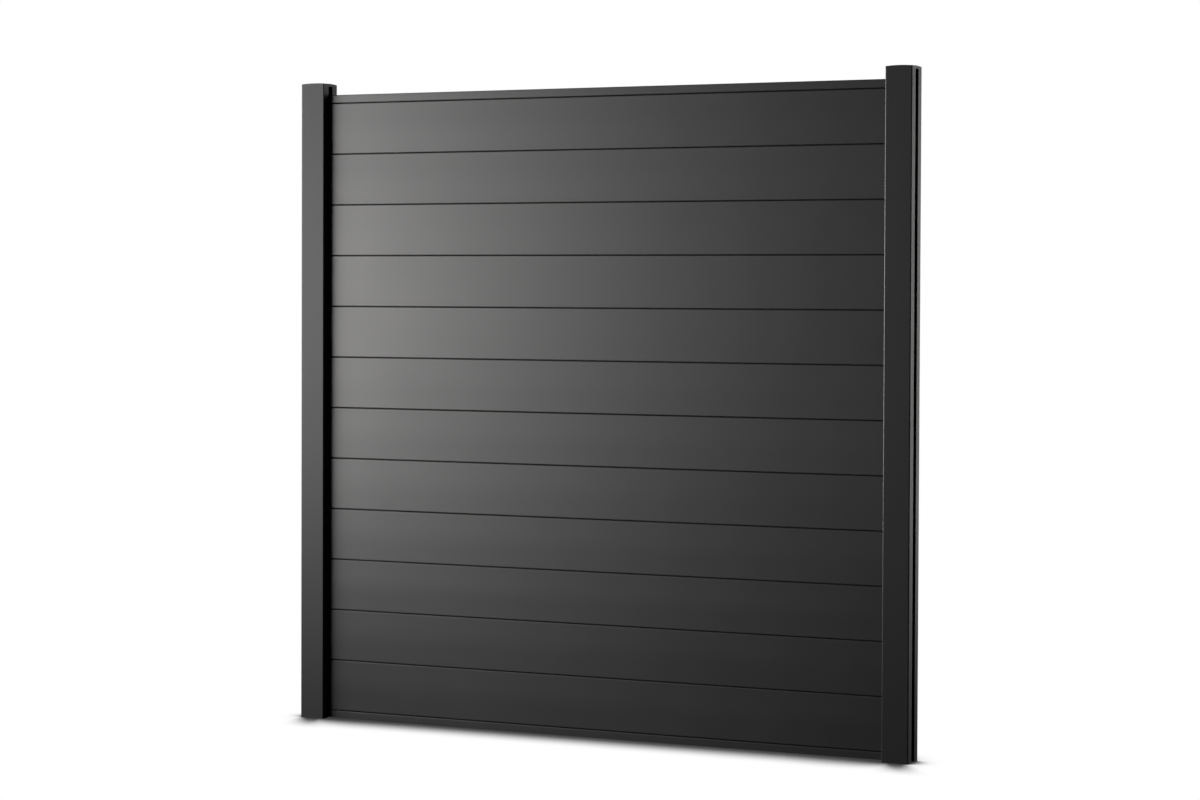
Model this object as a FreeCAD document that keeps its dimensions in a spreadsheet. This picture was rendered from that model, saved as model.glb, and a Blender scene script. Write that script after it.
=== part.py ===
"""Aluminium slat fence panel: two slotted posts, twelve tongue-and-groove slats and two closing rails.

X runs along the panel, the front looks along -Y, Z is up. The origin lies on the ground,
midway between the posts and in the middle of their depth. Lengths are in millimetres.
"""
import FreeCAD, Part
import math
import os
import re
import Sketcher

doc = FreeCAD.newDocument("FencePanel")

SIZES = (
    ("post_size", 77, "outside width and depth of the square post"),
    ("post_wall", 2, "wall of the post extrusion"),
    ("post_radius", 3, "rounding of the post's four outside corners"),
    ("post_reveal", 26, "post standing above the top rail"),
    ("clear_span", 1758, "clear width between the two posts"),
    ("channel_depth", 20, "depth of the channel in each side of a post"),
    ("mouth_radius", 1, "rounding of the channel's mouth"),
    ("port_bore", 4.2, "bore of the four screw ports along the post"),
    ("port_wall", 2, "wall around a screw port"),
    ("port_slit", 1.4, "slit along a screw port"),
    ("slat_count", 12, "number of slats"),
    ("slat_face", 146, "visible height of one slat"),
    ("slat_thick", 20, "thickness of slats and rails"),
    ("slat_wall", 1.2, "wall of the slat extrusion"),
    ("slat_edge", 1, "rounding along a slat's face"),
    ("web_count", 2, "webs that join the two skins inside a slat"),
    ("shadow_gap", 4, "open joint between two faces"),
    ("tongue_thick", 6, "thickness of the tongue"),
    ("tongue_rise", 13, "tongue standing above the face below it"),
    ("tongue_play", 0.3, "clearance on each side of the tongue"),
    ("shoulder_play", 0.5, "room between a shoulder's upper end and the lips above it"),
    ("lip_thick", 1.6, "lip on each side of the groove's mouth"),
    ("bottom_rail_face", 19.5, "visible height of the bottom rail"),
    ("top_rail_face", 22.5, "visible height of the top rail"),
    ("rail_wall", 1.5, "wall of both rail extrusions"),
    ("rail_edge", 2, "rounding along the top rail's upper edges"),
    ("side_play", 1, "room for a seal on each side of a slat in its channel"),
    ("end_play", 8, "room for expansion between a slat's end and the channel's floor"),
    ("seal_width", 8, "width of a seal strip"),
    ("seal_inset", 3, "seal strip's distance from the channel's mouth"),
    ("seal_edge", 0.4, "rounding along a seal strip"),
    ("bracket_thick", 2, "wall of the angle under each end of the bottom rail"),
    ("bracket_leg", 40, "height of the angle's upright leg"),
    ("bracket_play", 0.5, "room on each side of the angle and before its flange's end"),
    ("bracket_round", 1.5, "inside rounding of the angle"),
    ("screw_count", 2, "screws in one angle"),
    ("screw_first", 14, "lowest screw above the ground"),
    ("screw_step", 16, "distance between the screws of one angle"),
    ("screw_bore", 4.2, "diameter of a screw's shank"),
    ("screw_play", 0.1, "clearance around a screw's shank"),
    ("screw_reach", 13, "length of a screw under its head"),
    ("screw_tip", 4, "length of a screw's drill point"),
    ("head_width", 8, "diameter of a screw's head"),
    ("head_height", 2.6, "height of a screw's head"),
    ("head_top", 6, "diameter of the flat on top of a screw's head"),
    ("head_edge", 1.2, "height of a screw's head at its edge"),
    ("recess_width", 4.4, "span of the cross recess in a screw's head"),
    ("recess_slot", 1, "width of the cross recess"),
    ("recess_depth", 1.4, "depth of the cross recess"),
    ("cap_rim", 6, "height of a post cap at its corners"),
    ("cap_crown", 4, "rise of a post cap's dome over its corners"),
    ("cap_plug", 18, "length of the plugs under a post cap"),
    ("cap_wall", 2, "wall of the plugs"),
    ("cap_play", 0.2, "clearance around a plug in its chamber"),
    ("cap_lead", 1, "chamfer at the lower end of a plug"),
    ("overrun", 5, "extra reach of every cut beyond the surface it opens"),
)

sheet = doc.addObject("Spreadsheet::Sheet", "Sizes")
for row, (name, value, meaning) in enumerate(SIZES, start=1):
    sheet.set(f"A{row}", meaning)
    sheet.set(f"B{row}", str(value))
    sheet.setAlias(f"B{row}", name)
doc.recompute()

NAMES = {name for name, value, meaning in SIZES}


def bound(text):
    """The same formula with each named size read from the sheet."""
    return re.sub(r"[a-z_]+", lambda word: "Sizes." * (word.group() in NAMES) + word.group(), text)


def bind(item, field, text):
    item.setExpression(field, bound(text))


def number(text):
    return float(sheet.evalExpression(bound(text)))


def new_body(label, x="0", z="0", turn=0):
    """A body of its own, stood at (x, 0, z) and turned about the vertical by whole degrees."""
    body = doc.addObject("PartDesign::Body", label)
    body.Label = label
    body.Placement = FreeCAD.Placement(FreeCAD.Vector(), FreeCAD.Rotation(FreeCAD.Vector(0, 0, 1), turn))
    bind(body, "Placement.Base.x", x)
    bind(body, "Placement.Base.z", z)
    return body


def new_sketch(body, role):
    sketch = body.newObject("Sketcher::SketchObject", "Sketch")
    plane = [item for item in body.Origin.OriginFeatures if item.Role == role][0]
    sketch.AttachmentSupport = [(plane, "")]
    sketch.MapMode = "FlatFace"
    return sketch


def measure(sketch, kind, edge, point, text):
    """Hold a point at its named distance from the sketch's origin, or on the axis where that is zero."""
    axis = {"DistanceX": -2, "DistanceY": -1}[kind]
    if text == "0":
        sketch.addConstraint(Sketcher.Constraint("PointOnObject", edge, point, axis))
        return
    index = sketch.addConstraint(Sketcher.Constraint(kind, -1, 1, edge, point, number(text)))
    bind(sketch, f"Constraints[{index}]", text)


def outline(sketch, corners):
    """A closed outline through corners, each a pair of formulas."""
    first = sketch.GeometryCount
    count = len(corners)
    points = [FreeCAD.Vector(number(x), number(y), 0) for x, y in corners]
    for index, point in enumerate(points):
        sketch.addGeometry(Part.LineSegment(point, points[(index + 1) % count]))
    for index, (x, y) in enumerate(corners):
        edge = first + index
        before = first + (index - 1) % count
        last_x, last_y = corners[index - 1]
        sketch.addConstraint(Sketcher.Constraint("Coincident", before, 2, edge, 1))
        if y == last_y:
            sketch.addConstraint(Sketcher.Constraint("Horizontal", before))
        else:
            measure(sketch, "DistanceY", edge, 1, y)
        if x == last_x:
            sketch.addConstraint(Sketcher.Constraint("Vertical", before))
        else:
            measure(sketch, "DistanceX", edge, 1, x)
    return first


def rectangle(sketch, left, right, low, high):
    return outline(sketch, [(left, low), (right, low), (right, high), (left, high)])


def circle(sketch, x, y, radius):
    centre = FreeCAD.Vector(number(x), number(y), 0)
    edge = sketch.addGeometry(Part.Circle(centre, FreeCAD.Vector(0, 0, 1), number(radius)))
    measure(sketch, "DistanceX", edge, 3, x)
    measure(sketch, "DistanceY", edge, 3, y)
    index = sketch.addConstraint(Sketcher.Constraint("Radius", edge, number(radius)))
    bind(sketch, f"Constraints[{index}]", radius)


def pad(sketch, length, side="One side", backwards=False):
    body = sketch.getParentGeoFeatureGroup()
    feature = body.newObject("PartDesign::Pad", "Pad")
    feature.Profile = sketch
    feature.SideType = side
    feature.Reversed = backwards
    bind(feature, "Length", length)
    doc.recompute()
    return feature


def pocket(sketch, length=None, backwards=False):
    """Cut the sketch's outlines out of the body, to a named depth or right through."""
    body = sketch.getParentGeoFeatureGroup()
    before = body.Shape.Volume
    feature = body.newObject("PartDesign::Pocket", "Pocket")
    feature.Profile = sketch
    feature.Reversed = backwards
    if length is None:
        feature.Type = "ThroughAll"
    else:
        bind(feature, "Length", length)
    doc.recompute()
    if body.Shape.Volume >= before:
        raise RuntimeError(f"a cut in {body.Label} removes nothing")
    return feature


def edges_at(body, along, *places):
    """Names of the tip's straight edges along an axis ("x", "y" or "z") that pass a place.

    A place maps the other axes to formulas, in the body's own frame.
    """
    wanted = [{axis: number(text) for axis, text in place.items()} for place in places]
    found = []
    for index, edge in enumerate(body.Tip.Shape.Edges, start=1):
        start, end = edge.Vertexes[0].Point, edge.Vertexes[-1].Point
        run = end - start
        if run.Length == 0 or abs(getattr(run, along)) < run.Length * (1 - 1e-9):
            continue
        for place in wanted:
            if all(math.isclose(getattr(start, axis), at, abs_tol=1e-6) for axis, at in place.items()):
                found.append(f"Edge{index}")
    return found


def soften(body, kind, field, size, edges):
    """Round or chamfer edges of the body's tip by a named size."""
    feature = body.newObject(f"PartDesign::{kind}", kind)
    feature.Base = (feature.BaseFeature, edges)
    bind(feature, field, size)
    doc.recompute()
    return feature


# Sizes that follow from the ones above.
CHANNEL_WIDTH = "(slat_thick + 2 * side_play)"
SLAT_LENGTH = "(clear_span + 2 * (channel_depth - end_play))"
GROOVE_DEPTH = "(tongue_rise - shadow_gap)"
SHOULDER_RISE = "(shadow_gap - shoulder_play)"
PITCH = "(slat_face + shadow_gap)"
FIRST_SLAT = "(bracket_thick + bottom_rail_face + shadow_gap)"
TOP_RAIL = f"({FIRST_SLAT} + slat_count * {PITCH})"
POST_LENGTH = f"({TOP_RAIL} + top_rail_face + post_reveal)"
POST_CENTRE = "((clear_span + post_size) / 2)"
CHANNEL_FLOOR = "(post_size / 2 - channel_depth)"
PORT_CENTRE = "(post_size / 2 - post_wall - port_bore / 2)"
CHAMBER_OUTER = "(post_size / 2 - post_wall)"
CHAMBER_INNER = f"({CHANNEL_WIDTH} / 2 + post_wall)"

slats = int(number("slat_count"))
webs = int(number("web_count"))
screws = int(number("screw_count"))
SIGNS = ("-", "")


def make_post(label, x, turn):
    """Hollow extrusion with a channel in both sides, three chambers and four open screw ports.

    The occupied channel looks along the body's own +X and has the pilot holes of the rail's angle.
    """
    body = new_body(label, x, turn=turn)

    section = new_sketch(body, "XY_Plane")
    half, floor, lip = "post_size / 2", CHANNEL_FLOOR, f"{CHANNEL_WIDTH} / 2"
    outline(section, [
        (f"-{half}", f"-{half}"), (half, f"-{half}"),
        (half, f"-{lip}"), (floor, f"-{lip}"), (floor, lip), (half, lip),
        (half, half), (f"-{half}", half),
        (f"-{half}", lip), (f"-{floor}", lip), (f"-{floor}", f"-{lip}"), (f"-{half}", f"-{lip}"),
    ])
    inside = f"({CHANNEL_FLOOR} - post_wall)"
    rectangle(section, f"-{inside}", inside, f"-{lip}", lip)
    rectangle(section, f"-{CHAMBER_OUTER}", CHAMBER_OUTER, CHAMBER_INNER, CHAMBER_OUTER)
    rectangle(section, f"-{CHAMBER_OUTER}", CHAMBER_OUTER, f"-{CHAMBER_OUTER}", f"-{CHAMBER_INNER}")
    pad(section, POST_LENGTH)

    corners = [{"x": f"{a}{half}", "y": f"{b}{half}"} for a in SIGNS for b in SIGNS]
    soften(body, "Fillet", "Radius", "post_radius", edges_at(body, "z", *corners))
    mouths = [{"x": f"{a}{half}", "y": f"{b}{lip}"} for a in SIGNS for b in SIGNS]
    soften(body, "Fillet", "Radius", "mouth_radius", edges_at(body, "z", *mouths))

    ports = new_sketch(body, "XY_Plane")
    for a in SIGNS:
        for b in SIGNS:
            circle(ports, f"{a}{PORT_CENTRE}", f"{b}{PORT_CENTRE}", "port_bore / 2 + port_wall")
    pad(ports, POST_LENGTH)
    bores = new_sketch(body, "XY_Plane")
    for a in SIGNS:
        for b in SIGNS:
            circle(bores, f"{a}{PORT_CENTRE}", f"{b}{PORT_CENTRE}", "port_bore / 2")
    pocket(bores, backwards=True)
    slits = new_sketch(body, "XY_Plane")
    far, near = PORT_CENTRE, f"({PORT_CENTRE} - port_bore / 2 - port_wall - post_wall)"
    for b in SIGNS:
        low = f"({b}{PORT_CENTRE} - port_slit / 2)"
        high = f"({b}{PORT_CENTRE} + port_slit / 2)"
        rectangle(slits, near, far, low, high)
        rectangle(slits, f"-{far}", f"-{near}", low, high)
    pocket(slits, backwards=True)

    pilots = new_sketch(body, "YZ_Plane")
    for index in range(screws):
        circle(pilots, "0", f"screw_first + {index} * screw_step", "screw_bore / 2 + screw_play")
    pocket(pilots, f"{CHANNEL_FLOOR} + overrun", backwards=True)
    return body


def tongue_corners(face):
    """The upper end of a section, from its front skin over the tongue to its back skin.

    The shoulders fall outwards, so that rain runs off them, and leave the joint dark.
    """
    side, root, rise = "tongue_thick / 2", f"{face} + {SHOULDER_RISE}", f"{face} + tongue_rise"
    return [
        ("-slat_thick / 2", face), (f"-{side}", root), (f"-{side}", rise),
        (side, rise), (side, root), ("slat_thick / 2", face),
    ]


def groove_corners(wall):
    """The lower end of a section, from its back skin through the groove to its front skin."""
    skin, mouth = f"(slat_thick / 2 - {wall})", "(tongue_thick / 2 + tongue_play)"
    back = [
        ("slat_thick / 2", "0"), (mouth, "0"), (mouth, "lip_thick"),
        (skin, "lip_thick"), (skin, GROOVE_DEPTH),
    ]
    return back + [(f"-{y}", z) for y, z in reversed(back)]


def make_profile(label, z, wall, face, tongue, groove, webs, softened):
    """One hollow length of the panel, extruded along X, with its face's lower edge at height z."""
    body = new_body(label, z=z)
    section = new_sketch(body, "YZ_Plane")
    top = tongue_corners(face) if tongue else [("-slat_thick / 2", face), ("slat_thick / 2", face)]
    bottom = groove_corners(wall) if groove else [("slat_thick / 2", "0"), ("-slat_thick / 2", "0")]
    outline(section, top + bottom)

    floor = f"({GROOVE_DEPTH} + {wall})" if groove else wall
    cell = f"(({face} - {wall} - {floor} - {webs} * {wall}) / {webs + 1})"
    skin = f"(slat_thick / 2 - {wall})"
    for index in range(webs + 1):
        low = f"({floor} + {index} * ({cell} + {wall}))"
        if tongue and index == webs:
            side = f"(tongue_thick / 2 - {wall})"
            eaves, root = f"{face} - {wall}", f"{face} + {SHOULDER_RISE} - {wall}"
            right = [(skin, low), (skin, eaves), (side, root), (side, f"{face} + tongue_rise - {wall}")]
            outline(section, right + [(f"-{y}", z) for y, z in reversed(right)])
        else:
            rectangle(section, f"-{skin}", skin, low, f"{low} + {cell}")
    pad(section, SLAT_LENGTH, side="Symmetric")

    for edge_z, size in softened:
        places = [{"y": f"{a}slat_thick / 2", "z": edge_z} for a in SIGNS]
        soften(body, "Fillet", "Radius", size, edges_at(body, "x", *places))
    return body


def make_seal(label, x, front, inner):
    """Flat rubber strip that fills the play between a slat and one wall of its channel."""
    body = new_body(label, x)
    section = new_sketch(body, "XY_Plane")
    near, far = f"{inner}seal_inset", f"{inner}(seal_inset + seal_width)"
    slat, wall = f"{front}slat_thick / 2", f"{front}{CHANNEL_WIDTH} / 2"
    rectangle(section, near, far, slat, wall)
    pad(section, POST_LENGTH)
    places = [{"x": near, "y": slat}, {"x": far, "y": slat}]
    soften(body, "Fillet", "Radius", "seal_edge", edges_at(body, "z", *places))
    return body


def make_bracket(label, x, turn):
    """Short length of angle in the foot of a channel: the bottom rail's end rests on its flange."""
    body = new_body(label, x, turn=turn)
    section = new_sketch(body, "XZ_Plane")
    flange = "channel_depth - bracket_play"
    outline(section, [
        ("0", "0"), (flange, "0"), (flange, "bracket_thick"),
        ("bracket_thick", "bracket_thick"), ("bracket_thick", "bracket_leg"), ("0", "bracket_leg"),
    ])
    pad(section, "slat_thick - 2 * bracket_play", side="Symmetric")
    bend = [{"x": "bracket_thick", "z": "bracket_thick"}]
    soften(body, "Fillet", "Radius", "bracket_round", edges_at(body, "y", *bend))
    holes = new_sketch(body, "YZ_Plane")
    for index in range(screws):
        circle(holes, "0", f"screw_first + {index} * screw_step", "screw_bore / 2 + screw_play")
    pocket(holes, "bracket_thick + overrun", backwards=True)
    return body


def make_screw(label, x, z, turn):
    """Pan-head drilling screw along the body's own X, its head's seat at the body's origin."""
    body = new_body(label, x, z, turn)
    section = new_sketch(body, "XZ_Plane")
    outline(section, [
        ("0", "head_width / 2"), ("head_edge", "head_width / 2"), ("head_height", "head_top / 2"),
        ("head_height", "0"), ("-screw_reach", "0"), ("screw_tip - screw_reach", "screw_bore / 2"),
        ("0", "screw_bore / 2"),
    ])
    turned = body.newObject("PartDesign::Revolution", "Revolution")
    turned.Profile = section
    turned.ReferenceAxis = (section, ["H_Axis"])
    doc.recompute()
    cross = new_sketch(body, "YZ_Plane")
    arm, slot = "recess_width / 2", "recess_slot / 2"
    outline(cross, [
        (f"-{arm}", f"-{slot}"), (f"-{slot}", f"-{slot}"), (f"-{slot}", f"-{arm}"), (slot, f"-{arm}"),
        (slot, f"-{slot}"), (arm, f"-{slot}"), (arm, slot), (slot, slot),
        (slot, arm), (f"-{slot}", arm), (f"-{slot}", slot), (f"-{arm}", slot),
    ])
    bind(cross, "AttachmentOffset.Base.z", "head_height - recess_depth")
    pocket(cross, "recess_depth + overrun", backwards=True)
    return body


def make_cap(label, x):
    """Flush cap with a shallow dome; two plugs under it press into the post's front and back chambers."""
    body = new_body(label, x, POST_LENGTH)
    plate = new_sketch(body, "XY_Plane")
    half = "post_size / 2"
    rectangle(plate, f"-{half}", half, f"-{half}", half)
    pad(plate, "cap_rim + cap_crown")
    corners = [{"x": f"{a}{half}", "y": f"{b}{half}"} for a in SIGNS for b in SIGNS]
    soften(body, "Fillet", "Radius", "post_radius", edges_at(body, "z", *corners))

    # What stands above the dome is turned off, about a level axis through the middle of its sphere.
    waste = new_sketch(body, "XZ_Plane")
    reach, above = "post_size / sqrt(2)", "cap_rim + cap_crown + overrun"
    radius = f"((({reach}) ^ 2 + cap_crown ^ 2) / (2 * cap_crown))"
    centre = FreeCAD.Vector(0, number(f"cap_rim + cap_crown - {radius}"), 0)
    spread = math.asin(number(f"{reach} / {radius}"))
    ring = Part.Circle(centre, FreeCAD.Vector(0, 0, 1), number(radius))
    dome = waste.addGeometry(Part.ArcOfCircle(ring, math.pi / 2 - spread, math.pi / 2 + spread))
    corners = [(f"-{reach}", "cap_rim"), (f"-{reach}", above), (reach, above), (reach, "cap_rim")]
    points = [FreeCAD.Vector(number(a), number(b), 0) for a, b in corners]
    lines = [waste.addGeometry(Part.LineSegment(*ends)) for ends in zip(points, points[1:])]
    axis = waste.addGeometry(Part.LineSegment(centre, centre + points[-1] - points[0]), True)
    for first, second in ((dome, lines[0]), (lines[0], lines[1]), (lines[1], lines[2])):
        waste.addConstraint(Sketcher.Constraint("Coincident", first, 2, second, 1))
    waste.addConstraint(Sketcher.Constraint("Coincident", lines[2], 2, dome, 1))
    waste.addConstraint(Sketcher.Constraint("Coincident", dome, 3, axis, 1))
    for kind, edges in (("Vertical", (lines[0], lines[2])), ("Horizontal", (lines[1], axis))):
        for edge in edges:
            waste.addConstraint(Sketcher.Constraint(kind, edge))
    measure(waste, "DistanceX", lines[0], 1, f"-{reach}")
    measure(waste, "DistanceY", lines[0], 1, "cap_rim")
    measure(waste, "DistanceY", lines[0], 2, above)
    measure(waste, "DistanceX", lines[2], 2, reach)
    measure(waste, "DistanceX", dome, 3, "0")
    measure(waste, "DistanceX", axis, 2, "post_size")
    curve = waste.addConstraint(Sketcher.Constraint("Radius", dome, number(radius)))
    bind(waste, f"Constraints[{curve}]", radius)
    before = body.Shape.Volume
    turned = body.newObject("PartDesign::Groove", "Groove")
    turned.Profile = waste
    turned.ReferenceAxis = (waste, ["Axis0"])
    doc.recompute()
    if body.Shape.Volume >= before:
        raise RuntimeError(f"the dome of {label} removes nothing")

    plugs = new_sketch(body, "XY_Plane")
    wide = f"({PORT_CENTRE} - port_bore / 2 - port_wall - cap_play)"
    near, far = f"({CHAMBER_INNER} + cap_play)", f"({CHAMBER_OUTER} - cap_play)"
    slim = f"({wide} - cap_wall)"
    rectangle(plugs, f"-{wide}", wide, near, far)
    rectangle(plugs, f"-{slim}", slim, f"{near} + cap_wall", f"{far} - cap_wall")
    rectangle(plugs, f"-{wide}", wide, f"-{far}", f"-{near}")
    rectangle(plugs, f"-{slim}", slim, f"-({far} - cap_wall)", f"-({near} + cap_wall)")
    pad(plugs, "cap_plug", backwards=True)
    ends = [{"y": f"{a}{y}", "z": "-cap_plug"} for a in SIGNS for y in (near, far)]
    soften(body, "Chamfer", "Size", "cap_lead", edges_at(body, "x", *ends))
    return body


# The posts stand first, with their channels facing each other.
nodes = [
    make_post("post_left", f"-{POST_CENTRE}", 0),
    make_post("post_right", POST_CENTRE, 180),
]

# An angle screwed into the foot of each occupied channel carries the bottom rail.
CHANNEL_END = "(clear_span / 2 + channel_depth)"
SEAT = f"({CHANNEL_END} - bracket_thick)"
screw_bodies = []
for name, sign, turn in (("left", "-", 0), ("right", "", 180)):
    nodes.append(make_bracket(f"rail_bracket_{name}", f"{sign}{CHANNEL_END}", turn))
    for index in range(screws):
        height = f"screw_first + {index} * screw_step"
        screw_bodies.append(make_screw(f"screw_{name}_{index + 1}", f"{sign}{SEAT}", height, turn))
bracket_screws = doc.addObject("Part::Compound", "bracket_screws")
bracket_screws.Label = "bracket_screws"
bracket_screws.Links = screw_bodies
nodes.append(bracket_screws)

# Rubber strips line both walls of each occupied channel.
for name, sign, inner in (("left", "-", "-"), ("right", "", "")):
    for side, front in (("front", "-"), ("back", "")):
        nodes.append(make_seal(f"seal_{name}_{side}", f"{sign}clear_span / 2", front, inner))

# The rails and slats drop into the channels one after another, each tongue into the next groove.
nodes.append(make_profile(
    "bottom_rail", "bracket_thick", "rail_wall", "bottom_rail_face",
    tongue=True, groove=False, webs=0, softened=[("0", "slat_edge"), ("bottom_rail_face", "slat_edge")],
))
for index in range(slats):
    nodes.append(make_profile(
        f"slat_{index + 1:02d}", f"{FIRST_SLAT} + {index} * {PITCH}", "slat_wall", "slat_face",
        tongue=True, groove=True, webs=webs, softened=[("0", "slat_edge"), ("slat_face", "slat_edge")],
    ))
nodes.append(make_profile(
    "top_rail", TOP_RAIL, "rail_wall", "top_rail_face",
    tongue=False, groove=True, webs=0, softened=[("0", "slat_edge"), ("top_rail_face", "rail_edge")],
))

# The caps close the posts last.
nodes.append(make_cap("post_cap_left", f"-{POST_CENTRE}"))
nodes.append(make_cap("post_cap_right", POST_CENTRE))

doc.recompute()
for item in doc.Objects:
    if {"Invalid", "Error"} & set(item.State):
        raise RuntimeError(f"{item.Label} failed: {item.State}")
for node in nodes:
    if node.Shape.isNull() or not node.Shape.isValid():
        raise RuntimeError(f"{node.Label} has no valid shape")

os.makedirs("parts", exist_ok=True)
for node in nodes:
    node.Shape.exportStep(f"parts/{node.Label}.step")
    print(f"{node.Label}: {len(node.Shape.Solids)} solid(s), {node.Shape.Volume:.0f} mm3")
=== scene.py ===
import bmesh
import bpy
import math
import random
from mathutils import Matrix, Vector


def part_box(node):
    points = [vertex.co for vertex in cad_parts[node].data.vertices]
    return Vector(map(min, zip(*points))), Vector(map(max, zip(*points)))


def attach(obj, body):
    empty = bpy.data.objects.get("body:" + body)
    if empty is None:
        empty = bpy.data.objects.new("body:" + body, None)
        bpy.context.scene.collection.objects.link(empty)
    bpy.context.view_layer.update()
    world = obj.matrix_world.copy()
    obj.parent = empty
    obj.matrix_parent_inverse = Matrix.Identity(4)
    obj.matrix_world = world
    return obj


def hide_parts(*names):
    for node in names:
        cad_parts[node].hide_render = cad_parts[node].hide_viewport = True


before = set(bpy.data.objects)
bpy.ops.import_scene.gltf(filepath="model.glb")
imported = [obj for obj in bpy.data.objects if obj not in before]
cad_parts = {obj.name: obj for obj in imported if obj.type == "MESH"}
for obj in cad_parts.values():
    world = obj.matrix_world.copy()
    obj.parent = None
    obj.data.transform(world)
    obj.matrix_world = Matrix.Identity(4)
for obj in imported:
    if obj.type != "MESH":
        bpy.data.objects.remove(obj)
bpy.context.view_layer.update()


# Posts: two square aluminium extrusions with rounded corners and an open channel in both sides.
# They are powder coated in stock lengths and sawn to size, so only their cut ends show bare metal.
def linear(hex_colour):
    """An sRGB hex value as the linear colour that a shader takes."""
    shares = [int(hex_colour[place:place + 2], 16) / 255 for place in (1, 3, 5)]
    return [*(s / 12.92 if s <= 0.04045 else ((s + 0.055) / 1.055) ** 2.4 for s in shares), 1.0]


def add_node(owner, kind, inputs, **settings):
    """Adds a node to a material or world. An input is a value, or the output that is linked to it."""
    added = owner.node_tree.nodes.new(kind)
    for name, value in settings.items():
        setattr(added, name, value)
    for socket, value in inputs.items():
        if isinstance(value, bpy.types.NodeSocket):
            owner.node_tree.links.new(value, added.inputs[socket])
        else:
            added.inputs[socket].default_value = value
    return added


MIX_FACTOR, MIX_FIRST, MIX_SECOND, MIX_RESULT = 0, 6, 7, 2          # sockets of a Mix node for colours
BLEND_FACTOR, BLEND_FIRST, BLEND_SECOND, BLEND_RESULT = 0, 2, 3, 0  # and of one for plain numbers
coat_dark, coat_light = linear("#202022"), linear("#262628")
bare_metal = linear("#b4b6b8")
saw_roughness = 0.42
cut_level = 0.9                         # a face turned this far towards the bar's length is a cut end
edge_level = 0.75                       # flatness is 1 on a flat face, and at this level it is all edge
peel_size, peel_detail = 0.0024, 1.5    # orange peel, three times its real spacing so that it shows
peel_height = 0.000012
cloud_size, cloud_detail = 0.16, 3      # slow changes in the film's thickness
die_line, die_length = 0.005, 0.9       # extruding marks: their spacing on the section and their length
die_detail = 2
cloud_spread, line_spread, batch_spread = 0.05, 0.03, 0.03


def powder_coat(name, roughness, edge_roughness, edge_film, reflectance, length_axis):
    """Polyester powder baked on an extrusion: a dull black-grey film with a fine orange peel.

    The film's gloss varies slowly, along the die's marks, and a little from bar to bar. Over rounded
    edges it levels out as it bakes, which gives it a roughness of its own and a clear film on top.
    """
    coat = bpy.data.materials.new(name)
    coat.use_nodes = True
    place = add_node(coat, "ShaderNodeTexCoord", {})
    peel = add_node(coat, "ShaderNodeTexNoise", {
        "Vector": place.outputs["Object"], "Scale": 1 / peel_size, "Detail": peel_detail})
    cloud = add_node(coat, "ShaderNodeTexNoise", {
        "Vector": place.outputs["Object"], "Scale": 1 / cloud_size, "Detail": cloud_detail})
    stretch = [1 / die_length if share else 1 / die_line for share in length_axis]
    along = add_node(coat, "ShaderNodeMapping", {"Vector": place.outputs["Object"], "Scale": stretch})
    lines = add_node(coat, "ShaderNodeTexNoise", {
        "Vector": along.outputs["Vector"], "Scale": 1, "Detail": die_detail})
    batch = add_node(coat, "ShaderNodeObjectInfo", {})

    facing = add_node(coat, "ShaderNodeVectorMath", {
        0: place.outputs["Normal"], 1: length_axis}, operation="DOT_PRODUCT")
    either = add_node(coat, "ShaderNodeMath", {0: facing.outputs["Value"]}, operation="ABSOLUTE")
    cut = add_node(coat, "ShaderNodeMath", {
        0: either.outputs["Value"], 1: cut_level}, operation="GREATER_THAN")

    film = add_node(coat, "ShaderNodeMix", {
        MIX_FACTOR: cloud.outputs["Fac"], MIX_FIRST: coat_dark, MIX_SECOND: coat_light,
    }, data_type="RGBA")
    colour = add_node(coat, "ShaderNodeMix", {
        MIX_FACTOR: cut.outputs["Value"], MIX_FIRST: film.outputs[MIX_RESULT], MIX_SECOND: bare_metal,
    }, data_type="RGBA")

    # Each spread moves the gloss evenly about the coat's own roughness.
    gloss = roughness - (cloud_spread + line_spread + batch_spread) / 2
    for source, spread in ((cloud.outputs["Fac"], cloud_spread), (lines.outputs["Fac"], line_spread),
                           (batch.outputs["Random"], batch_spread)):
        step = add_node(coat, "ShaderNodeMath", {
            0: source, 1: spread, 2: gloss}, operation="MULTIPLY_ADD")
        gloss = step.outputs["Value"]
    square = add_node(coat, "ShaderNodeVectorMath", {
        0: place.outputs["Normal"], 1: place.outputs["Normal"]}, operation="MULTIPLY")
    flatness = add_node(coat, "ShaderNodeVectorMath", {
        0: square.outputs["Vector"], 1: square.outputs["Vector"]}, operation="DOT_PRODUCT")
    edge = add_node(coat, "ShaderNodeMapRange", {
        "Value": flatness.outputs["Value"], "From Min": 1, "From Max": edge_level})
    edges = add_node(coat, "ShaderNodeMix", {
        BLEND_FACTOR: edge.outputs["Result"], BLEND_FIRST: gloss, BLEND_SECOND: edge_roughness})
    ends = add_node(coat, "ShaderNodeMix", {
        BLEND_FACTOR: cut.outputs["Value"], BLEND_FIRST: edges.outputs[BLEND_RESULT],
        BLEND_SECOND: saw_roughness})
    relief = add_node(coat, "ShaderNodeBump", {
        "Height": peel.outputs["Fac"], "Strength": 1, "Distance": peel_height})

    shader = coat.node_tree.nodes["Principled BSDF"]
    shader.inputs["Specular IOR Level"].default_value = reflectance
    if edge_film:
        film_share = add_node(coat, "ShaderNodeMath", {
            0: edge.outputs["Result"], 1: edge_film}, operation="MULTIPLY")
        coat.node_tree.links.new(film_share.outputs["Value"], shader.inputs["Coat Weight"])
        shader.inputs["Coat Roughness"].default_value = edge_roughness
    for socket, output in (("Base Color", colour.outputs[MIX_RESULT]), ("Metallic", cut.outputs["Value"]),
                           ("Roughness", ends.outputs[BLEND_RESULT]), ("Normal", relief.outputs["Normal"])):
        coat.node_tree.links.new(output, shader.inputs[socket])
    return coat


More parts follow.
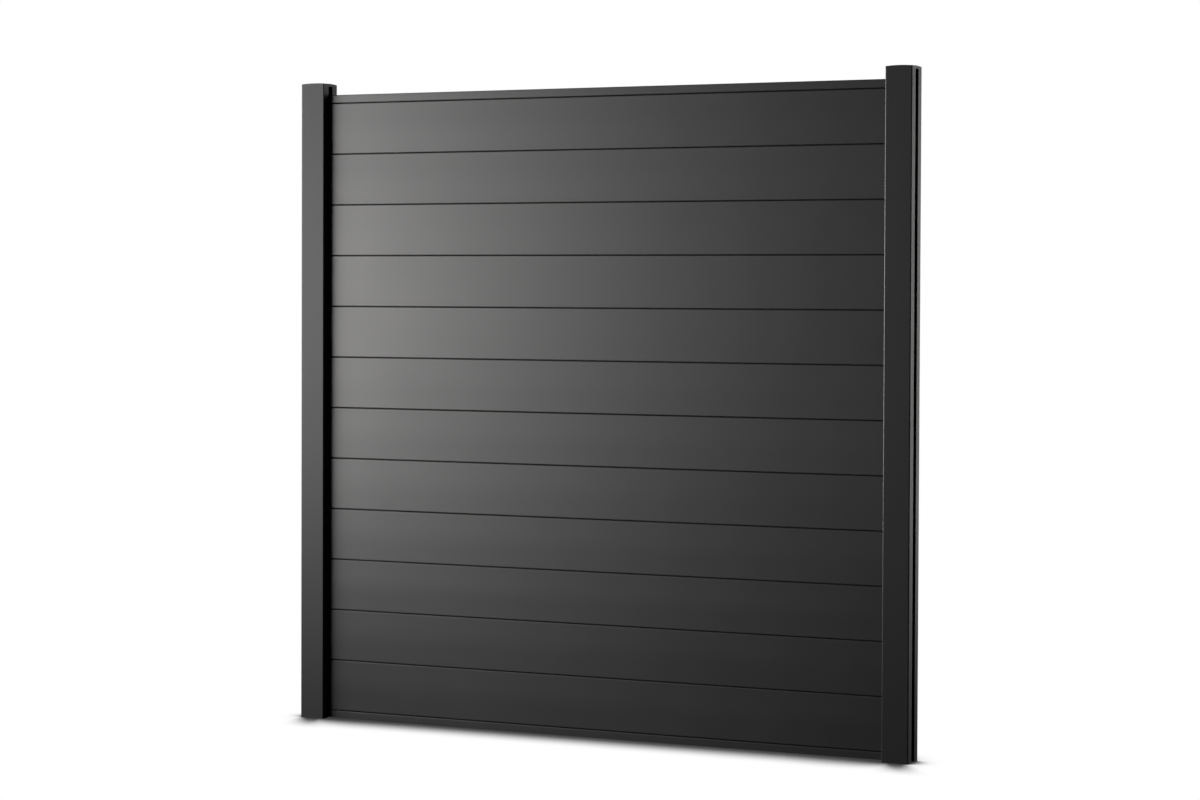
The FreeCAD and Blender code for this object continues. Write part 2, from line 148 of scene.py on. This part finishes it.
post_coat = powder_coat("powder_coated_post", roughness=0.64, edge_roughness=0.36, edge_film=0.9,
                        reflectance=0.36, length_axis=(0, 0, 1))
for name in ("post_left", "post_right"):
    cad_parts[name].material_slots[0].material = post_coat


# Rail brackets: a short length of mill-finished aluminium angle in the foot of each occupied channel.
# Its flange carries the end of the bottom rail, and two screws hold its upright leg.
def mottled_finish(name, dark, light, grain, detail, smoothest, spread, metallic=0, reflectance=0.5,
                   relief=0):
    """A finish with patches that are lighter and duller than the rest, and that stand up by the relief.

    The grain is the patches' size along X, Y and Z, and the spread is how much duller they get.
    """
    finish = bpy.data.materials.new(name)
    finish.use_nodes = True
    place = add_node(finish, "ShaderNodeTexCoord", {})
    scaled = add_node(finish, "ShaderNodeMapping", {
        "Vector": place.outputs["Object"], "Scale": [1 / size for size in grain]})
    patches = add_node(finish, "ShaderNodeTexNoise", {
        "Vector": scaled.outputs["Vector"], "Scale": 1, "Detail": detail})
    colour = add_node(finish, "ShaderNodeMix", {
        MIX_FACTOR: patches.outputs["Fac"], MIX_FIRST: dark, MIX_SECOND: light}, data_type="RGBA")
    gloss = add_node(finish, "ShaderNodeMath", {
        0: patches.outputs["Fac"], 1: spread, 2: smoothest}, operation="MULTIPLY_ADD")
    shader = finish.node_tree.nodes["Principled BSDF"]
    shader.inputs["Metallic"].default_value = metallic
    shader.inputs["Specular IOR Level"].default_value = reflectance
    finish.node_tree.links.new(colour.outputs[MIX_RESULT], shader.inputs["Base Color"])
    finish.node_tree.links.new(gloss.outputs["Value"], shader.inputs["Roughness"])
    if relief:
        raised = add_node(finish, "ShaderNodeBump", {
            "Height": patches.outputs["Fac"], "Strength": 1, "Distance": relief})
        finish.node_tree.links.new(raised.outputs["Normal"], shader.inputs["Normal"])
    return finish


# Aluminium as it leaves the die is a pale satin grey, streaked along the length of the angle.
mill_line, mill_length = 0.0016, 0.05   # the streaks, several times their real width so that they show
mill_finish = mottled_finish("mill_aluminium", linear("#a2a4a6"), linear("#c4c6c8"), detail=2,
                             grain=(mill_line, mill_length, mill_line), smoothest=0.28, spread=0.2,
                             metallic=1)
for name in ("rail_bracket_left", "rail_bracket_right"):
    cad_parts[name].material_slots[0].material = mill_finish


# Bracket screws: four drilling screws, headed and rolled from steel wire and then zinc plated.
# Two go through the upright leg of each bracket into the wall at the end of the channel.
# Bright zinc is a pale metal with small highlights, clouded here and there where it has dulled.
zinc_cloud = 0.003
zinc = mottled_finish("zinc_plated_steel", linear("#9c9fa1"), linear("#c9cccd"), detail=3,
                      grain=(zinc_cloud, zinc_cloud, zinc_cloud), smoothest=0.2, spread=0.2, metallic=1)
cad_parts["bracket_screws"].material_slots[0].material = zinc


# Seals: four strips of black EPDM rubber, extruded with ribs along one face.
# They are pressed to both walls of each occupied channel, and their ribs grip the ends of the boards.
rib_count = 4
rib_height = 0.00045
corner_angle = math.radians(35)         # a fold sharper than this stays a corner

# EPDM is a flat black with hardly any shine, a little greyer where its bloom has come to the surface.
bloom_size = 0.02
rubber = mottled_finish("epdm_rubber", linear("#121212"), linear("#1c1c1c"), detail=4,
                        grain=(bloom_size, bloom_size, bloom_size), smoothest=0.65, spread=0.2)


def extrude_bar(mesh, outlines, along):
    """Adds one bar: the first outline is its section, the others its hollows, and along its length."""
    edges = []
    for outline in outlines:
        corners = [mesh.verts.new(point) for point in outline]
        edges += [mesh.edges.new(pair) for pair in zip(corners, corners[1:] + corners[:1])]
    section = bmesh.ops.triangle_fill(mesh, edges=edges, use_beauty=True)["geom"]
    faces = [item for item in section if isinstance(item, bmesh.types.BMFace)]
    moved = bmesh.ops.extrude_face_region(mesh, geom=faces, use_keep_orig=True)["geom"]
    bmesh.ops.translate(mesh, vec=along, verts=[v for v in moved if isinstance(v, bmesh.types.BMVert)])
    bmesh.ops.recalc_face_normals(mesh, faces=mesh.faces)


def finish_piece(mesh, name, material, node):
    """Makes the mesh a piece that stands for a CAD node, smooth across all but its corners."""
    data = bpy.data.meshes.new(name)
    mesh.to_mesh(data)
    mesh.free()
    data.materials.append(material)
    data.shade_smooth()
    data.set_sharp_from_angle(angle=corner_angle)
    piece = bpy.data.objects.new(name, data)
    bpy.context.scene.collection.objects.link(piece)
    piece.modifiers.new("flat_faces", "WEIGHTED_NORMAL").keep_sharp = True
    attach(piece, "root")
    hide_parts(node)


for side in ("left", "right"):
    for face in ("front", "back"):
        low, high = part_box(f"seal_{side}_{face}")
        wall, tip = (low.y, high.y) if face == "front" else (high.y, low.y)
        base = tip + (wall - tip) * rib_height / (high.y - low.y)
        step = (high.x - low.x) / rib_count
        section = [(low.x, wall, low.z)]
        for rib in range(rib_count):
            section += [(low.x + rib * step, base, low.z), (low.x + (rib + 0.5) * step, tip, low.z)]
        section += [(high.x, base, low.z), (high.x, wall, low.z)]
        mesh = bmesh.new()
        extrude_bar(mesh, [section], (0, 0, high.z - low.z))
        finish_piece(mesh, f"seal_strip_{side}_{face}", rubber, f"seal_{side}_{face}")


# Rails and boards: hollow aluminium extrusions, powder coated like the posts and dropped into the channels
# one on another, each tongue in the groove above it. The boards' wide skins have sunk a little to both
# sides of a crest along their middle.
board_count = 12
tongue_half, tongue_rise, shoulder_rise = 0.003, 0.013, 0.0035
mouth_half, lip, groove_depth = 0.0033, 0.0016, 0.009
board_wall, rail_wall = 0.0012, 0.0015
board_webs, rail_webs = 2, 0
board_edge, rail_top_edge = 0.001, 0.002
edge_segments = 4
skin_cuts = 28
skin_wave = 0.1                         # from the crest to the next one, if the skin went on
sink_least, sink_most = 0.00015, 0.00045
sink_seed = 4
near = 0.00001                          # places closer than this are one place
board_coat = powder_coat("powder_coated_board", roughness=0.482, edge_roughness=0.6, edge_film=0,
                         reflectance=0.5, length_axis=(1, 0, 0))


def make_board(name, node, wall, webs, tongue=True, groove=True, top_edge=board_edge, sink=0):
    """Extrudes one rail or board along X in the place of its node and rounds the edges of its skins."""
    low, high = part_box(node)
    half, face = high.y, high.z - low.z - (tongue_rise if tongue else 0)
    skin = half - wall
    floor = groove_depth + wall if groove else wall

    # The section's back half, from the groove up to the tongue, and then the halves of its hollows.
    outside = [(half, 0), (half, face)]
    if groove:
        outside = [(skin, groove_depth), (skin, lip), (mouth_half, lip), (mouth_half, 0)] + outside
    if tongue:
        outside += [(tongue_half, face + shoulder_rise), (tongue_half, face + tongue_rise)]
    halves = [outside]
    cell = (face - wall - floor - webs * wall) / (webs + 1)
    for web in range(webs + 1):
        start = floor + web * (cell + wall)
        halves += [[(skin, start), (skin, start + cell)]]
    if tongue:
        inner = tongue_half - wall
        halves[-1] += [(inner, face + shoulder_rise - wall), (inner, face + tongue_rise - wall)]
    outlines = [back + [(-y, z) for y, z in reversed(back)] for back in halves]

    mesh = bmesh.new()
    placed = [[(low.x, y, low.z + z) for y, z in outline] for outline in outlines]
    extrude_bar(mesh, placed, (high.x - low.x, 0, 0))
    for height, radius in ((low.z, board_edge), (low.z + face, top_edge)):
        arrises = [edge for edge in mesh.edges if all(
            abs(abs(v.co.y) - half) < near and abs(v.co.z - height) < near for v in edge.verts)
            and abs(edge.verts[0].co.x - edge.verts[1].co.x) > near]
        bmesh.ops.bevel(mesh, geom=arrises, offset=radius, segments=edge_segments, profile=0.5,
                        affect="EDGES", material=-1)
    if sink:
        for cut in range(1, skin_cuts):
            bmesh.ops.bisect_plane(mesh, geom=mesh.verts[:] + mesh.edges[:] + mesh.faces[:],
                                   plane_co=(0, 0, low.z + face * cut / skin_cuts), plane_no=(0, 0, 1))
        middle = low.z + face / 2
        for vert in mesh.verts:
            if abs(vert.co.y) > skin - near:
                depth = sink * (1 - math.cos(math.tau * (vert.co.z - middle) / skin_wave)) / 2
                vert.co.y -= math.copysign(depth, vert.co.y)
    finish_piece(mesh, name, board_coat, node)


make_board("rail_bottom", "bottom_rail", rail_wall, rail_webs, groove=False)
sinks = random.Random(sink_seed)
for number in range(1, board_count + 1):
    make_board(f"board_{number:02d}", f"slat_{number:02d}", board_wall, board_webs,
               sink=sinks.uniform(sink_least, sink_most))
make_board("rail_top", "top_rail", rail_wall, rail_webs, tongue=False, top_edge=rail_top_edge)


# Post caps: lids moulded in coloured nylon, flush with the posts, with a shallow dome and softened edges.
# Two open plugs under each lid press into the post's front and back chambers.
cap_radius, cap_edge = 0.003, 0.0007
cap_rim, cap_crown = 0.006, 0.004
corner_segments, rim_segments, lead_segments = 6, 3, 1
side_cuts, dome_rings = 14, 8
plug_half, plug_near, plug_far = 0.0301, 0.0132, 0.0363
plug_wall, plug_lead = 0.002, 0.001

# Moulded nylon has the posts' black-grey, and the mould's spark-eroded grain breaks up its shine.
spark_size = 0.0016                     # the grain, twice its real size so that it shows
spark_height = 0.00001
nylon = mottled_finish("moulded_nylon", linear("#202022"), linear("#262628"), detail=2,
                       grain=(spark_size, spark_size, spark_size), smoothest=0.56, spread=0.1,
                       reflectance=0.37, relief=spark_height)


def rectangle(half, front, back):
    """The corners of a rectangle that is centred along X."""
    return [(-half, front), (half, front), (half, back), (-half, back)]


for side in ("left", "right"):
    low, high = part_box(f"post_cap_{side}")
    middle, half = (low.x + high.x) / 2, high.y
    seat = high.z - cap_rim - cap_crown
    reach = half * math.sqrt(2)         # from the middle to a corner, where the dome meets the rim's top
    dome_radius = (reach ** 2 + cap_crown ** 2) / (2 * cap_crown)

    # The lid starts as a square with rounded corners and rises in rings that shrink towards its middle.
    mesh = bmesh.new()
    corners = [mesh.verts.new((middle + x, y, seat)) for x, y in rectangle(half, -half, half)]
    mesh.faces.new(corners)
    bmesh.ops.bevel(mesh, geom=corners, offset=cap_radius, segments=corner_segments, profile=0.5,
                    affect="VERTICES", material=-1)
    sides = [edge for edge in mesh.edges if edge.calc_length() > half]
    bmesh.ops.subdivide_edges(mesh, edges=sides, cuts=side_cuts)
    raised = bmesh.ops.extrude_face_region(mesh, geom=mesh.faces[:], use_keep_orig=True)["geom"]
    lid = next(item for item in raised if isinstance(item, bmesh.types.BMFace))
    for ring in range(dome_rings, 0, -1):
        if ring < dome_rings:
            bmesh.ops.inset_region(mesh, faces=[lid], thickness=0)
            bmesh.ops.scale(mesh, verts=lid.verts, vec=(ring / (ring + 1), ring / (ring + 1), 1),
                            space=Matrix.Translation((-middle, 0, 0)))
        for vert in lid.verts:
            out = math.hypot(vert.co.x - middle, vert.co.y)
            vert.co.z = high.z - dome_radius + math.sqrt(dome_radius ** 2 - out ** 2)
    crown = bmesh.ops.poke(mesh, faces=[lid])["verts"][0]
    crown.co.z = high.z
    bmesh.ops.recalc_face_normals(mesh, faces=mesh.faces)
    rim = [edge for edge in mesh.edges if edge.verts[0].co.z > seat + cap_rim / 2
           and {round(abs(face.normal.z)) for face in edge.link_faces} == {0, 1}]
    bmesh.ops.bevel(mesh, geom=rim, offset=cap_edge, segments=rim_segments, profile=0.5,
                    affect="EDGES", material=-1)

    for front, back in ((-plug_far, -plug_near), (plug_near, plug_far)):
        walls = [rectangle(plug_half, front, back),
                 rectangle(plug_half - plug_wall, front + plug_wall, back - plug_wall)]
        placed = [[(middle + x, y, seat) for x, y in outline] for outline in walls]
        extrude_bar(mesh, placed, (0, 0, low.z - seat))
    leads = [edge for edge in mesh.edges if all(
        abs(v.co.z - low.z) < near and min(abs(abs(v.co.y) - y) for y in (plug_near, plug_far)) < near
        for v in edge.verts) and abs(edge.verts[0].co.y - edge.verts[1].co.y) < near]
    bmesh.ops.bevel(mesh, geom=leads, offset=plug_lead, segments=lead_segments, profile=0.5,
                    affect="EDGES", material=-1)
    finish_piece(mesh, f"cap_{side}", nylon, f"post_cap_{side}")


# Floor: a studio floor in white matt paint, laid level under the posts' feet.
# To the camera it glows white, and the soft shade around the panel's foot is painted into that glow.
floor_size = 15
floor_drop = 0.0005
floor_colour = linear("#2e2e2e")        # what the lamps find, so that little light comes back off it
sweep_near, sweep_far = 1.5, 4          # where the floor behind the panel turns into the white sweep
shade_reach = 0.28
sky_samples = 32
shade_dark, shade_clear = 0.5, 0.88     # open share of the sky at the panel and where its shade ends
shade_level = 0.05                      # the floor's brightness where it meets the panel
pool_reach, pool_lean = 0.185, 0.45     # the posts' shade runs forward and leans to the right
pool_blur, pool_spread = 0.02, 0.3      # its sides are soft, and softer the further it runs
pool_back = 0.03                        # it starts under the post

# White matt paint: an even white that shows no mirror image; the soft shade of what stands on it is painted
# into its white glow.
white_floor = bpy.data.materials.new("white_floor")
white_floor.use_nodes = True
place = add_node(white_floor, "ShaderNodeTexCoord", {})
spot = add_node(white_floor, "ShaderNodeSeparateXYZ", {"Vector": place.outputs["Object"]})
# Painted shade: the share of open sky within reach of the panel sets the glow's colour, dark at the foot
# and white further off.
open_sky = add_node(white_floor, "ShaderNodeAmbientOcclusion", {
    "Distance": shade_reach}, samples=sky_samples)
cleared = add_node(white_floor, "ShaderNodeMapRange", {
    "Value": open_sky.outputs["AO"], "From Min": shade_dark, "From Max": shade_clear})
shade = add_node(white_floor, "ShaderNodeMapRange", {
    "Value": cleared.outputs["Result"], "To Min": shade_level}, interpolation_type="SMOOTHSTEP")

# A post is too narrow to hide much of the sky, so a pool of shade is painted before it as well.
low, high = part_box("post_right")
post_middle, post_half = (low.x + high.x) / 2, (high.x - low.x) / 2
ahead = add_node(white_floor, "ShaderNodeMath", {0: low.y, 1: spot.outputs["Y"]}, operation="SUBTRACT")
straight = add_node(white_floor, "ShaderNodeMath", {
    0: ahead.outputs["Value"], 1: -pool_lean, 2: spot.outputs["X"]}, operation="MULTIPLY_ADD")
either = add_node(white_floor, "ShaderNodeMath", {0: straight.outputs["Value"]}, operation="ABSOLUTE")
aside = add_node(white_floor, "ShaderNodeMath", {
    0: either.outputs["Value"], 1: post_middle}, operation="SUBTRACT")
beside = add_node(white_floor, "ShaderNodeMath", {0: aside.outputs["Value"]}, operation="ABSOLUTE")
blur = add_node(white_floor, "ShaderNodeMath", {
    0: ahead.outputs["Value"], 1: pool_spread, 2: pool_blur}, operation="MULTIPLY_ADD")
inside = add_node(white_floor, "ShaderNodeMath", {
    0: post_half, 1: beside.outputs["Value"]}, operation="SUBTRACT")
depth = add_node(white_floor, "ShaderNodeMath", {
    0: inside.outputs["Value"], 1: blur.outputs["Value"]}, operation="DIVIDE")
across = add_node(white_floor, "ShaderNodeMapRange", {
    "Value": depth.outputs["Value"], "From Min": -1}, interpolation_type="SMOOTHSTEP")
begun = add_node(white_floor, "ShaderNodeMapRange", {
    "Value": ahead.outputs["Value"], "From Min": -pool_back, "From Max": 0})
faded = add_node(white_floor, "ShaderNodeMapRange", {
    "Value": ahead.outputs["Value"], "From Max": pool_reach, "To Min": 1 - shade_level, "To Max": 0,
}, interpolation_type="SMOOTHSTEP")
within = add_node(white_floor, "ShaderNodeMath", {
    0: across.outputs["Result"], 1: begun.outputs["Result"]}, operation="MULTIPLY")
# Painted pool of shade: dark before each post's foot, fading forward and to its sides.
pool = add_node(white_floor, "ShaderNodeMath", {
    0: within.outputs["Value"], 1: faded.outputs["Result"]}, operation="MULTIPLY")
painted_pool_shade = add_node(white_floor, "ShaderNodeMath", {0: 1, 1: pool.outputs["Value"]}, operation="SUBTRACT")
# The floor's glow takes whichever painted shade is darker, the sky's or the posts' pool.
painted_floor_shade = add_node(white_floor, "ShaderNodeMath", {
    0: shade.outputs["Result"], 1: painted_pool_shade.outputs["Value"]}, operation="MINIMUM")
glow = add_node(white_floor, "ShaderNodeEmission", {"Color": painted_floor_shade.outputs["Value"]})
matt = add_node(white_floor, "ShaderNodeBsdfDiffuse", {"Color": floor_colour})


def white_share(owner, sweep):
    """How white a ray finds the studio: all white from the camera, but off a shiny face only the sweep."""
    ray = add_node(owner, "ShaderNodeLightPath", {})
    mirrored = add_node(owner, "ShaderNodeMath", {
        0: ray.outputs["Is Glossy Ray"], 1: ray.outputs["Is Transmission Ray"]}, operation="MAXIMUM")
    shown = add_node(owner, "ShaderNodeMath", {
        0: mirrored.outputs["Value"], 1: sweep.outputs["Result"]}, operation="MULTIPLY")
    seen = add_node(owner, "ShaderNodeMath", {
        0: ray.outputs["Is Camera Ray"], 1: shown.outputs["Value"]}, operation="MAXIMUM")
    return seen.outputs["Value"]


sweep = add_node(white_floor, "ShaderNodeMapRange", {
    "Value": spot.outputs["Y"], "From Min": sweep_near, "From Max": sweep_far})
surface = add_node(white_floor, "ShaderNodeMixShader", {
    0: white_share(white_floor, sweep), 1: matt.outputs["BSDF"], 2: glow.outputs["Emission"]})
white_floor.node_tree.links.new(
    surface.outputs["Shader"], white_floor.node_tree.nodes["Material Output"].inputs["Surface"])
mesh = bmesh.new()
bmesh.ops.create_grid(mesh, x_segments=1, y_segments=1, size=floor_size)
bmesh.ops.translate(mesh, verts=mesh.verts, vec=(0, 0, -floor_drop))
data = bpy.data.meshes.new("floor")
mesh.to_mesh(data)
mesh.free()
data.materials.append(white_floor)
floor = bpy.data.objects.new("floor", data)
bpy.context.scene.collection.objects.link(floor)


# Room: a dark studio with a sweep of white paper, hung behind the panel and to its right.
# The camera sees white all round, and the posts' sides mirror the sweep and the dark beside it.
room_level = 0.02
sweep_bearing = (0.34, 0.94, 0)
sweep_start, sweep_full = 0.6, 0.9
room = bpy.data.worlds.new("studio")
room.use_nodes = True
bpy.context.scene.world = room
place = add_node(room, "ShaderNodeTexCoord", {})
towards = add_node(room, "ShaderNodeVectorMath", {
    0: place.outputs["Generated"], 1: sweep_bearing}, operation="DOT_PRODUCT")
sweep = add_node(room, "ShaderNodeMapRange", {
    "Value": towards.outputs["Value"], "From Min": sweep_start, "From Max": sweep_full})
level = add_node(room, "ShaderNodeMapRange", {"Value": white_share(room, sweep), "To Min": room_level})
background = room.node_tree.nodes["Background"]
background.inputs["Color"].default_value = linear("#ffffff")
room.node_tree.links.new(level.outputs["Result"], background.inputs["Strength"])


# Lamps: a large softbox in front of the panel's left end, close enough to fall off along the boards,
# and a smaller one behind its right end, which lights the outer sides of the posts.
lamp_tint = (1, 0.985, 0.965)
key_place, key_size = (-2.183, -1.602, 1.416), (2.41, 1.905)
rear_place, rear_size = (1.45, 2.35, 1.2), (1.2, 2.0)


def softbox(name, place, facing, rise, size, power):
    """Adds an area lamp that faces a bearing, in degrees from +Y towards +X, and rises by an angle."""
    light = bpy.data.lights.new(name, "AREA")
    light.shape = "RECTANGLE"
    light.size, light.size_y = size
    light.energy = power
    light.color = lamp_tint
    lamp = bpy.data.objects.new(name, light)
    lamp.location = place
    lamp.rotation_euler = (math.pi / 2 + math.radians(rise), 0, -math.radians(facing))
    lamp.visible_camera = False
    bpy.context.scene.collection.objects.link(lamp)


softbox("key_softbox", key_place, facing=81.6, rise=18, size=key_size, power=164)
softbox("rear_softbox", rear_place, facing=199, rise=0, size=rear_size, power=31)


# Camera: a long lens at eye level, to the right of the panel and turned towards it.
# Its place, angles and lens were fitted to the panel's edges in the photograph.
photo_width = 1200
focal_pixels = 2931.5
principal_rise = 39.4                   # pixels from the middle of the photograph up to the lens axis
sensor_width = 36                       # millimetres, as Blender counts a lens
camera_place = (3.6357, -7.4826, 1.2821)
camera_yaw, camera_dip, camera_roll = (math.radians(angle) for angle in (25.845, 1.429, 0.208))
lens = bpy.data.cameras.new("camera")
lens.sensor_width = sensor_width
lens.lens = sensor_width * focal_pixels / photo_width
lens.shift_y = -principal_rise / photo_width
camera = bpy.data.objects.new("camera", lens)
camera.matrix_world = (Matrix.Translation(camera_place) @ Matrix.Rotation(camera_yaw, 4, "Z")
                       @ Matrix.Rotation(math.pi / 2 - camera_dip, 4, "X")
                       @ Matrix.Rotation(camera_roll, 4, "Z"))
bpy.context.scene.collection.objects.link(camera)
bpy.context.scene.camera = camera
bpy.context.scene.view_settings.view_transform = "Standard"
